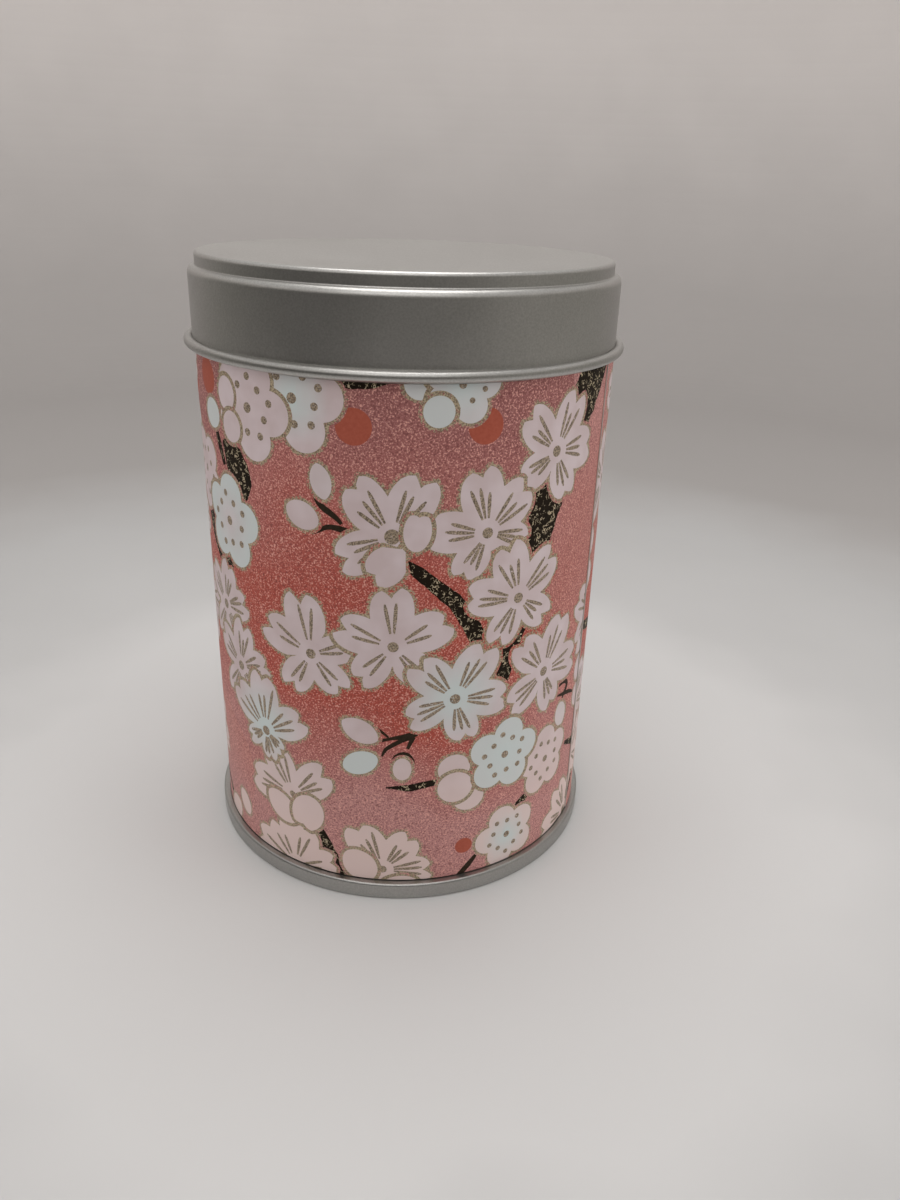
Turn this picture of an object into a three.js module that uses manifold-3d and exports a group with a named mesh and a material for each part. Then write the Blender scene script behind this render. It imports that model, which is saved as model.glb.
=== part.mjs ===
// A round tinplate tea caddy: a seamed can wrapped in printed washi paper, with a
// slip-over outer lid and, under it, a plug-in inner lid that keeps the tea airtight.
// Millimetres, +Z up, origin on the table under the middle of the can, front towards -Y.
import * as THREE from "three";
import { mergeVertices } from "three/addons/utils/BufferGeometryUtils.js";
import Module from "manifold-3d";

const wasm = await Module();
wasm.setup();

// ---- driving dimensions -------------------------------------------------------------
const SHEET = 0.3; // tinplate gauge, with its lacquer
const TOUCH = 0.05; // gap left between two pieces that touch
const SEGMENTS = 48; // facets round every large turned piece
const SMALL_SEGMENTS = 24; // facets round the knob and its fixings

const BODY_R = 37.3; // outside radius of the tin cylinder
const BODY_TOP = 108.4; // crest of its curled top edge
const CURL_R = 0.6; // outside radius of that curl's section
const WELD_WIDTH = 2.4; // lap of the cylinder's side seam, on the inside
const WELD_BOTTOM = 5;
const WELD_TOP = 106;

const SEAM_R = 38.9; // outside radius of the double seam that the can stands on
const SEAM_HEIGHT = 3.3;
const SEAM_CORNER = 0.5;
const HOOK_R = 38.0; // inside radius of the body hook, folded up inside the double seam
const HOOK_BOTTOM = 0.45;
const HOOK_TOP = 2.5;
const END_HOOK_R = 37.42; // inside radius of the end's hook, between cylinder and body hook
const END_HOOK_BOTTOM = 1.0;
const PANEL_Z = 3.6; // underside of the sunk bottom panel

const PAPER = 0.2; // washi thickness
const PAPER_BOTTOM = 3.5;
const PAPER_TOP = 96.1;
const PAPER_EDGE_DEG = -20; // where the sheet's outer end stops, from +X
const PAPER_LAP_DEG = 12; // how far the sheet's inner end runs on under it
const PAPER_RAMP_DEG = 10; // over which the sheet then comes down to the tin

const LID_TOP = 111.7;
const LID_R = 37.85; // outside radius of the skirt
const LID_TIER_R = 36.75; // outside radius of the raised top tier
const LID_TIER_CORNER = 0.7;
const SHOULDER_R = 1.1; // radius of the round shoulder between tier and skirt
const SHOULDER_Z = 108.35; // where the skirt starts, under the shoulder
const BEAD_R = 0.9; // outside radius of the curl at the skirt's edge
const LID_BOTTOM = 96.35;

const FLANGE_R = 36.9; // rim of the inner lid, which rests on the can's curl
const FLANGE_HEM = 0.8; // width of the rim's hem, folded flat to twice the sheet
const PLUG_R = 35.85; // outside radius of the inner lid's wall
const PLUG_FLOOR = 98.0; // underside of its sunk panel

const KNOB_R = 7.0;
const KNOB_FOOT_R = 5.2;
const KNOB_WAIST_R = 3.8;
const KNOB_HEIGHT = 9.0;
const RECESS_R = 3.1; // seat in the knob's crown for the rivet's head
const RECESS_DEPTH = 0.8;
const RIVET_R = 1.45;
const RIVET_HOLE_R = 1.65;
const RIVET_HEAD_R = 2.8;
const RIVET_TAIL_R = 2.4; // spread end under the washer
const WASHER_R = 4.5;
const WASHER = 0.5;

// ---- materials ----------------------------------------------------------------------
const tinplate = () => new THREE.MeshStandardMaterial({ color: 0xa3a29b, metalness: 1, roughness: 0.42 });
const washi = () => new THREE.MeshStandardMaterial({ color: 0xc06a60, metalness: 0, roughness: 0.75 });
const blackPlastic = () => new THREE.MeshStandardMaterial({ color: 0x1b1a19, metalness: 0, roughness: 0.3 });
const aluminium = () => new THREE.MeshStandardMaterial({ color: 0xc9cac8, metalness: 1, roughness: 0.3 });
const sealant = () => new THREE.MeshStandardMaterial({ color: 0x8f8a80, metalness: 0, roughness: 0.85 });

// ---- helpers ------------------------------------------------------------------------
const radians = THREE.MathUtils.degToRad;
const at = (r, z) => new THREE.Vector2(r, z);

// Points on an arc of a section, from one angle to another in degrees, ends included.
function arc(r, z, radius, from, to, steps) {
  const points = [];
  for (let i = 0; i <= steps; i++) {
    const a = radians(from + ((to - from) * i) / steps);
    points.push(at(r + radius * Math.cos(a), z + radius * Math.sin(a)));
  }
  return points;
}

// Turns a section, drawn counter-clockwise, about the Z axis. A section that reaches the
// axis starts and ends there, and any other is closed on itself.
function turned(section, segments = SEGMENTS) {
  const onAxis = section[0].x === 0;
  const profile = onAxis ? section : [...section, section[0]];
  return new THREE.LatheGeometry(profile, segments).rotateX(Math.PI / 2);
}

function solidOf(geometry) {
  const bare = geometry.clone();
  bare.deleteAttribute("normal");
  bare.deleteAttribute("uv");
  const merged = mergeVertices(bare, 1e-4);
  const mesh = new wasm.Mesh({
    numProp: 3,
    vertProperties: merged.attributes.position.array,
    triVerts: new Uint32Array(merged.index.array),
  });
  return new wasm.Manifold(mesh);
}

function geometryOf(solid) {
  const mesh = solid.getMesh();
  const geometry = new THREE.BufferGeometry();
  geometry.setAttribute("position", new THREE.BufferAttribute(mesh.vertProperties, 3));
  geometry.setIndex(new THREE.BufferAttribute(mesh.triVerts, 1));
  geometry.computeVertexNormals();
  return geometry;
}

// ---- can body -----------------------------------------------------------------------
// The rolled cylinder: an inward curl at the mouth, and a hook folded out at the foot.
function bodySection() {
  const inside = BODY_R - SHEET;
  const curlR = BODY_R - CURL_R;
  const curlZ = BODY_TOP - CURL_R;
  return [
    ...arc(curlR, curlZ, CURL_R, 0, 270, 8),
    ...arc(curlR, curlZ, CURL_R - SHEET, 270, 0, 6),
    at(inside, HOOK_BOTTOM + SHEET),
    at(BODY_R, HOOK_BOTTOM),
    at(HOOK_R, HOOK_BOTTOM),
    at(HOOK_R + SHEET, HOOK_BOTTOM + SHEET),
    at(HOOK_R + SHEET, HOOK_TOP),
    at(HOOK_R, HOOK_TOP),
    at(HOOK_R, HOOK_BOTTOM + SHEET),
    at(BODY_R, HOOK_BOTTOM + SHEET),
  ];
}

// The lap of the welded side seam, a low ridge up the inside at the back of the can.
function weldLap() {
  const rise = SHEET;
  const root = SHEET / 2; // how deep the lap is sunk in the cylinder's own sheet
  const lap = new THREE.BoxGeometry(WELD_WIDTH, rise + root, WELD_TOP - WELD_BOTTOM);
  return lap.translate(0, BODY_R - SHEET + (root - rise) / 2, (WELD_TOP + WELD_BOTTOM) / 2);
}

function bodyShell() {
  return geometryOf(solidOf(turned(bodySection())).add(solidOf(weldLap())));
}

// ---- bottom end ---------------------------------------------------------------------
// The stamped end: a sunk panel with a stiffening ring, then the wall inside the cylinder,
// the foot that the can stands on, the seam's outer wall and its hook.
function endSection() {
  const wallR = BODY_R - SHEET - TOUCH;
  const panelTop = PANEL_Z + SHEET;
  const bend = 0.4;
  const ringRise = 0.6;
  const [ringIn, ringOut, ringSlope] = [27, 30, 1];
  const seamCornerR = SEAM_R - SEAM_CORNER;
  return [
    at(0, PANEL_Z),
    at(ringIn - ringSlope, PANEL_Z),
    at(ringIn, PANEL_Z + ringRise),
    at(ringOut, PANEL_Z + ringRise),
    at(ringOut + ringSlope, PANEL_Z),
    at(wallR - SHEET - bend, PANEL_Z),
    at(wallR - SHEET, PANEL_Z - bend),
    at(wallR - SHEET, bend),
    at(wallR, 0),
    ...arc(seamCornerR, SEAM_CORNER, SEAM_CORNER, -90, 0, 3),
    ...arc(seamCornerR, SEAM_HEIGHT - SEAM_CORNER, SEAM_CORNER, 0, 90, 3),
    at(END_HOOK_R + SHEET / 2, SEAM_HEIGHT),
    at(END_HOOK_R, SEAM_HEIGHT - SHEET / 2),
    at(END_HOOK_R, END_HOOK_BOTTOM),
    at(END_HOOK_R + SHEET, END_HOOK_BOTTOM),
    at(END_HOOK_R + SHEET, SEAM_HEIGHT - SHEET),
    at(SEAM_R - SHEET, SEAM_HEIGHT - SHEET),
    at(SEAM_R - SHEET, SHEET),
    at(wallR, SHEET),
    at(wallR, panelTop - bend),
    at(wallR - bend, panelTop),
    at(ringOut + ringSlope, panelTop),
    at(ringOut, panelTop + ringRise),
    at(ringIn, panelTop + ringRise),
    at(ringIn - ringSlope, panelTop),
    at(0, panelTop),
  ];
}

// The bead of sealing compound squeezed between the two hooks.
function compoundSection() {
  const inner = END_HOOK_R + SHEET + TOUCH;
  const outer = HOOK_R - TOUCH;
  const bottom = END_HOOK_BOTTOM + TOUCH;
  const top = HOOK_TOP - TOUCH;
  return [at(inner, bottom), at(outer, bottom), at(outer, top), at(inner, top)];
}

// ---- washi wrap ---------------------------------------------------------------------
// A facet of a turned piece lies inside its corners; this is its radius at any angle.
function facetRadius(cornerR, degrees) {
  const step = 360 / SEGMENTS;
  const fromMiddle = THREE.MathUtils.euclideanModulo(degrees, step) - step / 2;
  return (cornerR * Math.cos(radians(step / 2))) / Math.cos(radians(fromMiddle));
}

// How far the sheet stands off the tin: a layer up over its own inner end, then down.
function wrapLift(degrees) {
  const pastLap = degrees - (PAPER_EDGE_DEG + PAPER_LAP_DEG);
  return (PAPER + TOUCH) * (1 - THREE.MathUtils.clamp(pastLap / PAPER_RAMP_DEG, 0, 1));
}

// One sheet round the can, its inner end carried on under its outer end.
function wrapOutline() {
  const step = 360 / SEGMENTS;
  const end = PAPER_EDGE_DEG + 360 + PAPER_LAP_DEG;
  const stops = [PAPER_EDGE_DEG];
  for (let a = Math.ceil(PAPER_EDGE_DEG / step) * step; a < end; a += step) stops.push(a);
  stops.push(end);
  const side = (innerR) =>
    stops.map((a) => {
      const r = facetRadius(innerR + wrapLift(a), a);
      return at(r * Math.cos(radians(a)), r * Math.sin(radians(a)));
    });
  const inside = side(BODY_R + TOUCH);
  const outside = side(BODY_R + TOUCH + PAPER);
  return new THREE.Shape([...outside, ...inside.reverse()]);
}

function washiWrap() {
  const depth = PAPER_TOP - PAPER_BOTTOM;
  const sheet = new THREE.ExtrudeGeometry(wrapOutline(), { depth, bevelEnabled: false });
  return sheet.translate(0, 0, PAPER_BOTTOM);
}

// ---- outer lid ----------------------------------------------------------------------
// Drawn from one disc: flat top, raised tier, round shoulder, skirt, and an outward curl
// whose end stops just short of the skirt.
function outerLidSection() {
  const tierR = LID_TIER_R - LID_TIER_CORNER;
  const tierZ = LID_TOP - LID_TIER_CORNER;
  const beadR = LID_R - SHEET + BEAD_R;
  const beadZ = LID_BOTTOM + BEAD_R;
  const crease = 75; // angle at which the shoulder runs into the tier's wall
  const curlEnd = 112;
  return [
    at(0, LID_TOP - SHEET),
    ...arc(tierR, tierZ, LID_TIER_CORNER - SHEET, 90, 0, 2),
    at(LID_TIER_R - SHEET, SHOULDER_Z + SHOULDER_R),
    ...arc(LID_TIER_R, SHOULDER_Z, SHOULDER_R - SHEET, 90, 0, 3),
    ...arc(beadR, beadZ, BEAD_R, -180, curlEnd, 11),
    ...arc(beadR, beadZ, BEAD_R - SHEET, curlEnd, -180, 8),
    ...arc(LID_TIER_R, SHOULDER_Z, SHOULDER_R, 0, crease, 3),
    at(LID_TIER_R, SHOULDER_Z + SHOULDER_R + SHEET),
    ...arc(tierR, tierZ, LID_TIER_CORNER, 0, 90, 3),
    at(0, LID_TOP),
  ];
}

// ---- inner lid ----------------------------------------------------------------------
// A pressed cup: hemmed rim, plug wall, and a sunk panel with a step and a rivet hole.
function innerLidSection() {
  const rimZ = BODY_TOP + TOUCH;
  const hemR = FLANGE_R - FLANGE_HEM;
  const bend = 0.5;
  const floor = PLUG_FLOOR;
  const stepRise = 0.6;
  const [stepIn, stepOut] = [21, 22];
  return [
    at(RIVET_HOLE_R, floor),
    at(stepIn, floor),
    at(stepOut, floor + stepRise),
    at(PLUG_R - bend, floor + stepRise),
    at(PLUG_R, floor + stepRise + bend),
    at(PLUG_R, rimZ - SHEET),
    at(PLUG_R + SHEET, rimZ),
    at(FLANGE_R, rimZ),
    at(FLANGE_R, rimZ + 2 * SHEET),
    at(hemR, rimZ + 2 * SHEET),
    at(hemR, rimZ + SHEET),
    at(PLUG_R - SHEET + SHEET / 2, rimZ + SHEET),
    at(PLUG_R - SHEET, rimZ),
    at(PLUG_R - SHEET, floor + stepRise + SHEET + bend),
    at(PLUG_R - SHEET - bend, floor + stepRise + SHEET),
    at(stepOut, floor + stepRise + SHEET),
    at(stepIn, floor + SHEET),
    at(RIVET_HOLE_R, floor + SHEET),
  ];
}

const KNOB_Z = PLUG_FLOOR + SHEET + TOUCH;
const RECESS_Z = KNOB_Z + KNOB_HEIGHT - RECESS_DEPTH;

// A moulded mushroom: flared foot, waist, and a crown with a seat for the rivet's head.
function knobSection() {
  const edge = 0.9; // corner radius round the crown's widest part
  const crownZ = KNOB_Z + KNOB_HEIGHT * 0.72;
  return [
    at(RIVET_HOLE_R, KNOB_Z),
    at(KNOB_FOOT_R, KNOB_Z),
    at(KNOB_FOOT_R, KNOB_Z + 0.7),
    at(KNOB_WAIST_R, KNOB_Z + KNOB_HEIGHT * 0.28),
    at(KNOB_WAIST_R, KNOB_Z + KNOB_HEIGHT * 0.42),
    ...arc(KNOB_R - edge, crownZ, edge, -50, 50, 3),
    at((KNOB_R + RECESS_R) / 2, KNOB_Z + KNOB_HEIGHT * 0.96),
    at(RECESS_R, KNOB_Z + KNOB_HEIGHT),
    at(RECESS_R, RECESS_Z),
    at(RIVET_HOLE_R, RECESS_Z),
  ];
}

function washerSection() {
  const top = PLUG_FLOOR - TOUCH;
  return [
    at(RIVET_HOLE_R, top - WASHER),
    at(WASHER_R, top - WASHER),
    at(WASHER_R, top),
    at(RIVET_HOLE_R, top),
  ];
}

// One rivet through knob, panel and washer: domed head in the crown, spread tail below.
function rivetSection() {
  const tailTop = PLUG_FLOOR - WASHER - 2 * TOUCH;
  const tail = 0.65;
  const headZ = RECESS_Z + TOUCH;
  return [
    at(0, tailTop - tail),
    at(RIVET_TAIL_R - 0.4, tailTop - tail),
    at(RIVET_TAIL_R, tailTop - tail / 2),
    at(RIVET_TAIL_R, tailTop),
    at(RIVET_R, tailTop),
    at(RIVET_R, headZ),
    at(RIVET_HEAD_R, headZ),
    at(RIVET_HEAD_R, headZ + 0.3),
    at(RIVET_HEAD_R * 0.6, headZ + 0.8),
    at(0, headZ + 1),
  ];
}

// ---- assembly -----------------------------------------------------------------------
const caddy = new THREE.Group();

function add(name, geometry, material) {
  const mesh = new THREE.Mesh(geometry, material);
  mesh.name = name;
  caddy.add(mesh);
}

add("body_shell", bodyShell(), tinplate());
add("base_end", turned(endSection()), tinplate());
add("seam_compound", turned(compoundSection()), sealant());
add("washi_wrap", washiWrap(), washi());
add("outer_lid", turned(outerLidSection()), tinplate());
add("inner_lid", turned(innerLidSection()), tinplate());
add("inner_lid_knob", turned(knobSection(), SMALL_SEGMENTS), blackPlastic());
add("knob_rivet", turned(rivetSection(), SMALL_SEGMENTS), aluminium());
add("knob_washer", turned(washerSection(), SMALL_SEGMENTS), aluminium());

export default caddy;
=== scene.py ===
import math

import bpy
import numpy as np
from mathutils import Matrix, Vector
from mathutils.geometry import delaunay_2d_cdt
from mathutils.kdtree import KDTree


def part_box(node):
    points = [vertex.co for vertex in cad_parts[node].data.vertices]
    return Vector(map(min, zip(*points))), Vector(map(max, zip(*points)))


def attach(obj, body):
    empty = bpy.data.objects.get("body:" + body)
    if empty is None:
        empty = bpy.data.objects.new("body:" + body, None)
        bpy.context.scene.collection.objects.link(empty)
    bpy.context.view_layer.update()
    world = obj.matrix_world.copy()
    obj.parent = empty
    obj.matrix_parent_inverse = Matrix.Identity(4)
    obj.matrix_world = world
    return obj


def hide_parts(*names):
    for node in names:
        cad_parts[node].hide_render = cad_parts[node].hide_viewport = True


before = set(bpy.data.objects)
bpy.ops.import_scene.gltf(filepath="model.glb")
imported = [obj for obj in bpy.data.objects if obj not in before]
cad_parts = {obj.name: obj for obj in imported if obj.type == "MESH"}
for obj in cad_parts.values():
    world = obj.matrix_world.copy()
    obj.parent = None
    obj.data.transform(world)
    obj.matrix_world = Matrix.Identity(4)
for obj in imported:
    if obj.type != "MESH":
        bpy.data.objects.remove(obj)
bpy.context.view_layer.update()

scene = bpy.context.scene
MM = 0.001

# ---- sizes from the frame ----
SHEET = 0.3 * MM  # tinplate gauge
TOUCH = 0.05 * MM  # gap left between two pieces that touch
PAPER = 0.2 * MM  # washi thickness

LOWEST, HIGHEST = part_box("outer_lid")
LID_BOTTOM, LID_TOP, BEAD_OUT_R = LOWEST.z, HIGHEST.z, HIGHEST.x
BEAD_R = 0.9 * MM  # outside radius of the curl at the skirt's edge
SKIRT_R = BEAD_OUT_R - 2 * BEAD_R + SHEET
SHOULDER_R = 1.3 * MM
TIER_R = SKIRT_R - SHOULDER_R
TIER_CORNER = 0.7 * MM
SHOULDER_Z = LID_TOP - 3.55 * MM

PAPER_BOTTOM, PAPER_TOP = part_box("washi_wrap")[0].z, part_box("washi_wrap")[1].z
PAPER_R = -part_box("washi_wrap")[0].x  # outside radius, away from the lap
BODY_R = PAPER_R - PAPER - TOUCH
BODY_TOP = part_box("body_shell")[1].z
CURL_R = 0.6 * MM
WELD_WIDTH, WELD_FOOT, WELD_HEAD = 2.4 * MM, 5 * MM, 106 * MM

SEAM_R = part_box("base_end")[1].x
SEAM_HEIGHT = 3.3 * MM
SEAM_CORNER = 0.5 * MM
HOOK_OUT_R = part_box("body_shell")[1].x
HOOK_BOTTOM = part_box("body_shell")[0].z
HOOK_TOP = 2.5 * MM
END_HOOK_R, END_HOOK_BOTTOM = BODY_R + 0.12 * MM, 1.0 * MM
PANEL_Z = 3.6 * MM

PLUG_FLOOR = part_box("inner_lid")[0].z
FLANGE_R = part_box("inner_lid")[1].x
FLANGE_HEM = 0.8 * MM
PLUG_R = FLANGE_R - 1.05 * MM

KNOB_Z, KNOB_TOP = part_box("inner_lid_knob")[0].z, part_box("inner_lid_knob")[1].z
KNOB_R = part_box("inner_lid_knob")[1].x
FOOT_R, WAIST_R = 5.2 * MM, 3.8 * MM
RECESS_R, RECESS_Z = 3.1 * MM, KNOB_TOP - 0.8 * MM
RIVET_R, RIVET_HOLE_R = 1.45 * MM, 1.65 * MM
RIVET_HEAD_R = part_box("knob_rivet")[1].x
WASHER_R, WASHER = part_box("knob_washer")[1].x, 0.5 * MM

SEGMENTS = 256  # facets round the large turned pieces
SMALL_SEGMENTS = 96


# ---- materials ----
class Shader:
    """One material's nodes: a Principled shader, fed from patterns in the object's own space."""

    def __init__(self, name, **settings):
        self.material = bpy.data.materials.new(name)
        self.material.use_nodes = True
        self.tree = self.material.node_tree
        self.principled = self.tree.nodes["Principled BSDF"]
        for socket, value in settings.items():
            self.principled.inputs[socket.replace("_", " ")].default_value = value
        self.place = self.add("ShaderNodeTexCoord").outputs["Object"]

    def add(self, kind, **properties):
        node = self.tree.nodes.new(kind)
        for name, value in properties.items():
            setattr(node, name, value)
        return node

    def link(self, source, target):
        if isinstance(source, bpy.types.NodeSocket):
            self.tree.links.new(source, target)
        else:
            target.default_value = source

    def feed(self, name, source):
        self.link(source, self.principled.inputs[name])

    def noise(self, size, detail=2.0, rough=0.5):
        """Noise whose features are about size metres across."""
        noise = self.add("ShaderNodeTexNoise")
        noise.inputs["Scale"].default_value = 1 / size
        noise.inputs["Detail"].default_value = detail
        noise.inputs["Roughness"].default_value = rough
        self.link(self.place, noise.inputs["Vector"])
        return noise.outputs["Fac"]

    def math(self, operation, a, b=0.0):
        node = self.add("ShaderNodeMath", operation=operation)
        self.link(a, node.inputs[0])
        self.link(b, node.inputs[1])
        return node.outputs["Value"]

    def span(self, value, low, high, to_low=0.0, to_high=1.0):
        """value carried from low..high to to_low..to_high, and held there."""
        node = self.add("ShaderNodeMapRange")
        self.link(value, node.inputs["Value"])
        ends = {"From Min": low, "From Max": high, "To Min": to_low, "To Max": to_high}
        for name, number in ends.items():
            node.inputs[name].default_value = number
        return node.outputs["Result"]

    def mix(self, share, a, b):
        """The colour a, turning into b as share goes from 0 to 1."""
        node = self.add("ShaderNodeMix", data_type="RGBA")
        self.link(share, node.inputs["Factor"])
        for name, colour in (("A", a), ("B", b)):
            socket = [s for s in node.inputs if s.name == name and s.type == "RGBA"][0]
            self.link(colour if isinstance(colour, bpy.types.NodeSocket) else (*colour, 1.0), socket)
        return [s for s in node.outputs if s.type == "RGBA"][0]

    def ramp(self, value, *stops):
        """A colour that changes smoothly along value through (position, colour) stops."""
        node = self.add("ShaderNodeValToRGB")
        elements = node.color_ramp.elements
        while len(elements) < len(stops):
            elements.new(1.0)
        for element, (position, colour) in zip(elements, stops):
            element.position = position
            element.color = (*colour, 1.0)
        self.link(value, node.inputs["Fac"])
        return node.outputs["Color"]

    def axes(self):
        """The x, y and z of the place being shaded."""
        parts = self.add("ShaderNodeSeparateXYZ")
        self.link(self.place, parts.inputs["Vector"])
        return [parts.outputs[axis] for axis in "XYZ"]

    def bump(self, height, depth):
        """Relief of depth metres where height goes from 0 to 1."""
        node = self.add("ShaderNodeBump")
        node.inputs["Distance"].default_value = depth
        node.inputs["Strength"].default_value = 1.0
        self.link(height, node.inputs["Height"])
        self.feed("Normal", node.outputs["Normal"])


def tinplate(name, light, dark, rough=(0.36, 0.39)):
    """Satin tinplate: a fine matt grain over slow clouds."""
    m = Shader(name, Metallic=1.0)
    grain = m.noise(0.3 * MM, detail=3)
    clouds = m.noise(12 * MM, detail=2)
    tone = m.math("ADD", m.math("MULTIPLY", grain, 0.8), m.math("MULTIPLY", clouds, 0.2))
    m.feed("Base Color", m.mix(m.span(tone, 0.35, 0.65), dark, light))
    m.feed("Roughness", m.span(clouds, 0.3, 0.7, *rough))
    m.bump(grain, 0.003 * MM)
    return m.material


def moulded(name, colour, dark, rough):
    """Moulded plastic or compound, with a faint flow mottle and a slight orange peel."""
    m = Shader(name)
    m.feed("Base Color", m.mix(m.noise(3 * MM), dark, colour))
    m.feed("Roughness", m.span(m.noise(2 * MM), 0.3, 0.7, rough - 0.05, rough + 0.07))
    m.bump(m.noise(0.8 * MM), 0.006 * MM)
    return m.material


TIN = tinplate("tinplate_satin", (0.532, 0.524, 0.503), (0.437, 0.429, 0.411))
TIN_BOTTOM = tinplate("tinplate_bottom", (0.47, 0.463, 0.445), (0.39, 0.384, 0.368))
TIN_INSIDE = tinplate("tinplate_bright", (0.70, 0.69, 0.66), (0.60, 0.59, 0.56), rough=(0.25, 0.29))
ALUMINIUM = tinplate("aluminium_headed", (0.86, 0.86, 0.85), (0.74, 0.74, 0.73), rough=(0.26, 0.31))
PLASTIC = moulded("black_plastic", (0.022, 0.020, 0.019), (0.011, 0.010, 0.010), 0.3)
SEALANT = moulded("sealing_compound", (0.33, 0.30, 0.25), (0.24, 0.22, 0.18), 0.8)

# The print's inks. Every one keeps the same paper grain.
PETAL_PINK, PETAL_SHADE = (0.64, 0.545, 0.56), (0.58, 0.475, 0.48)
PETAL_MINT = (0.57, 0.635, 0.63)
# a lighter, warmer petal tone for the foot: painted light from below
PETAL_FOOT_PAINTED_LIGHT = (0.70, 0.55, 0.52)
GOLD_DARK, GOLD_LIGHT = (0.20, 0.155, 0.10), (0.52, 0.43, 0.29)
LINE_DARK, LINE_LIGHT = (0.15, 0.112, 0.078), (0.44, 0.35, 0.25)
VERMILION, ROSE, DUSKY = (0.43, 0.067, 0.042), (0.43, 0.137, 0.121), (0.32, 0.115, 0.11)
PALE_ROSE, CLOUD_ROSE, CLOUD_DEEP = (0.48, 0.225, 0.215), (0.49, 0.178, 0.150), (0.43, 0.143, 0.121)
BARK, TWIG_BROWN = (0.012, 0.007, 0.003), (0.045, 0.03, 0.018)
FRUIT_DARK, FRUIT_LIGHT = (0.32, 0.055, 0.028), (0.44, 0.10, 0.055)
BACK_DARK, BACK_LIGHT = (0.55, 0.51, 0.47), (0.68, 0.65, 0.60)
BARK_SPECULAR = 0.12
LIGHT_SPECK, DARK_SPECK = (0.71, 0.37, 0.31), (0.17, 0.045, 0.04)


def paper(name, roughness=0.62):
    """A Principled shader with the grain of pressed paper."""
    m = Shader(name, Roughness=roughness)
    fine, coarse = m.noise(0.22 * MM), m.noise(0.9 * MM)
    m.bump(m.math("ADD", m.math("MULTIPLY", fine, 0.5), m.math("MULTIPLY", coarse, 0.5)), 0.02 * MM)
    return m


def ground_colour(m, *stops):
    """Rose ground that deepens and fades with height, with fine specks all over."""
    wobble = m.span(m.noise(26 * MM, detail=1), 0.3, 0.7, -9 * MM, 9 * MM)
    level = m.span(m.math("ADD", m.axes()[2], wobble), PAPER_BOTTOM, PAPER_TOP)
    tint = m.ramp(level, *stops)
    grains = m.noise(0.29 * MM, detail=2, rough=0.6)
    speckled = m.mix(m.span(grains, 0.55, 0.62, 0, 0.9), tint, LIGHT_SPECK)
    return m.mix(m.span(grains, 0.45, 0.38, 0, 0.7), speckled, DARK_SPECK)


def rose(m):
    return ground_colour(m, (0.0, PALE_ROSE), (0.18, PALE_ROSE), (0.30, ROSE), (0.42, VERMILION),
                         (0.60, VERMILION), (0.78, ROSE), (1.0, DUSKY))


def pale_rose(m):
    return ground_colour(m, (0.0, PALE_ROSE), (0.3, CLOUD_ROSE), (0.6, CLOUD_DEEP), (1.0, PALE_ROSE))


def petal_colour(m):
    """Lavender pink, with painted light from below making it lighter and warmer towards the foot, and mint
    where the sheet's mint attribute says.
    """
    pink = m.mix(m.span(m.noise(5 * MM), 0.35, 0.65), PETAL_SHADE, PETAL_PINK)
    # painted light: the petals get lighter and warmer towards the foot, as if lit from below
    pink = m.mix(m.span(m.axes()[2], 36 * MM, 12 * MM), pink, PETAL_FOOT_PAINTED_LIGHT)
    mint = m.add("ShaderNodeAttribute", attribute_name="mint").outputs["Fac"]
    return m.mix(mint, pink, PETAL_MINT)


def gold_ink(name, under, golds, thin, thick):
    """Grains of dull gold, from the darker to the lighter of two golds, with what they are
    printed on showing between them. thin and thick are how far the grains are from joining up
    where the sheet's dusting is 0 and 1."""
    m = paper(name, 0.5)
    grains = m.noise(0.36 * MM, detail=2, rough=0.6)
    gold = m.mix(m.span(m.noise(0.25 * MM), 0.38, 0.62), *golds)
    dust = m.add("ShaderNodeAttribute", attribute_name="dusting").outputs["Fac"]
    bare = m.math("SUBTRACT", grains, m.span(dust, 0, 1, thin, thick))
    cover = m.span(bare, -0.02, 0.02)
    m.feed("Base Color", m.mix(cover, under(m), gold))
    m.feed("Metallic", m.math("MULTIPLY", cover, 0.25))
    return m


def plain_ink(name, colour, roughness=0.62):
    """Paper in one colour, which colour(shader) gives."""
    m = paper(name, roughness)
    m.feed("Base Color", colour(m))
    return m


def bark_colour(m):
    """Near-black, with broken flecks of gold."""
    veins = m.math("ABSOLUTE", m.math("SUBTRACT", m.noise(0.6 * MM, detail=1), 0.5))
    patches = m.span(m.noise(0.9 * MM), 0.49, 0.55)
    fleck = m.math("MULTIPLY", m.span(veins, 0.05, 0.025), patches)
    return m.mix(fleck, BARK, GOLD_LIGHT)


def mottled(size, dark, light):
    """A colour for plain_ink that wanders between two."""
    return lambda m: m.mix(m.noise(size), dark, light)


def washi_inks():
    """The sheet's materials, in the order of their numbers."""
    ground = plain_ink("washi_ground", rose)
    cloud_rose = plain_ink("washi_pale_ground", pale_rose)
    white = plain_ink("washi_petal", petal_colour)
    bark = plain_ink("washi_branch", bark_colour, 0.6)
    twig = plain_ink("washi_twig", mottled(0.5 * MM, BARK, TWIG_BROWN), 0.6)
    for m in (bark, twig):
        m.principled.inputs["Specular IOR Level"].default_value = BARK_SPECULAR
    fruit = plain_ink("washi_disc", mottled(0.5 * MM, FRUIT_DARK, FRUIT_LIGHT))
    back = plain_ink("washi_back", mottled(0.6 * MM, BACK_DARK, BACK_LIGHT), 0.8)
    rim = gold_ink("washi_gold_rim", rose, (GOLD_DARK, GOLD_LIGHT), 0.57, 0.35)
    line = gold_ink("washi_gold_line", petal_colour, (LINE_DARK, LINE_LIGHT), 0.33, 0.33)
    return [m.material for m in (ground, cloud_rose, rim, white, line, bark, twig, fruit, back)]


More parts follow.
